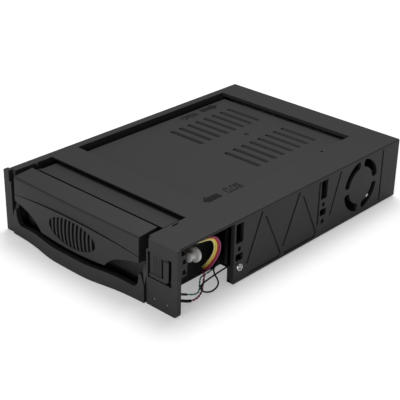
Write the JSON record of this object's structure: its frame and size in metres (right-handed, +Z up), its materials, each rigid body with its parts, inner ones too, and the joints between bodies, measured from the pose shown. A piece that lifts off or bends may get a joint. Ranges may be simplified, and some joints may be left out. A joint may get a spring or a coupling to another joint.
{
  "type": "hot swap drive cage",
  "caption": "Bay-mounted frame with a sliding drive tray, a swinging U-shaped handle, a sliding tray cover, a slide switch and a rear backplane.",
  "frame": {"origin": "centre of the bounding box's footprint, on the surface the cage stands on", "axes": "+X to the right seen from the front, +Y to the back along the tray's travel, +Z up"},
  "size_m": [0.149, 0.2196, 0.042],
  "materials": {
    "black_abs": "matte",
    "rail_abs": "matte",
    "steel": "satin",
    "lamp_lens": "frosted",
    "white_cap": "matte",
    "board_green": "lacquered",
    "connector_black": "matte",
    "wire_black": "satin",
    "wire_yellow": "satin",
    "wire_red": "satin",
    "wire_rose": "satin",
    "wire_teal": "satin"
  },
  "bodies": {
    "frame": {"frame_shell": "black_abs", "floor_plate": "black_abs", "channel_floor": "black_abs", "guide_rail_left": "rail_abs", "guide_rail_right": "rail_abs", "front_ear_left": "black_abs", "front_ear_right": "black_abs", "switch_carrier": "black_abs", "slide_switch_body": "steel", "lamp_power": "lamp_lens", "lamp_drive": "lamp_lens", "wire_cap": "white_cap", "rear_panel": "black_abs", "backplane_board": "board_green", "backplane_socket": "connector_black", "data_header": "connector_black", "power_inlet": "white_cap", "earth_screw": "steel", "board_screw_1": "steel", "board_screw_2": "steel", "board_screw_3": "steel", "board_screw_4": "steel", "harness_plug": "white_cap", "harness_sleeve": "wire_black", "wire_yellow_a": "wire_yellow", "wire_yellow_b": "wire_yellow", "wire_red": "wire_red", "wire_rose": "wire_rose", "wire_lamp_pair": "wire_rose", "wire_teal": "wire_teal", "wire_black_loop": "wire_black"},
    "tray": {"tray_tub": "black_abs", "tray_plug": "connector_black", "tray_board": "board_green", "drive_socket": "connector_black", "handle_pin_left": "steel", "handle_pin_right": "steel", "tray_front_panel": "black_abs", "tray_hood": "black_abs"},
    "cover": {"tray_cover": "black_abs"},
    "handle_body": {"handle": "black_abs"},
    "knob": {"slider_knob": "black_abs"}
  },
  "joints": [
    {"name": "tray_slide", "type": "slide", "parent": "frame", "child": "tray", "axis": [0, -1, 0], "range_m": [0, 0.19]},
    {"name": "handle_swing", "type": "hinge", "parent": "tray", "child": "handle_body", "pos_m": [-0.0084, -0.08725, 0.033], "axis": [-1, 0, 0], "range_deg": [0, 80]},
    {"name": "cover_slide", "type": "slide", "parent": "tray", "child": "cover", "axis": [0, 1, 0], "range_m": [0, 0.014]},
    {"name": "switch_slide", "type": "slide", "parent": "frame", "child": "knob", "axis": [1, 0, 0], "range_m": [0, 0.0022]}
  ]
}
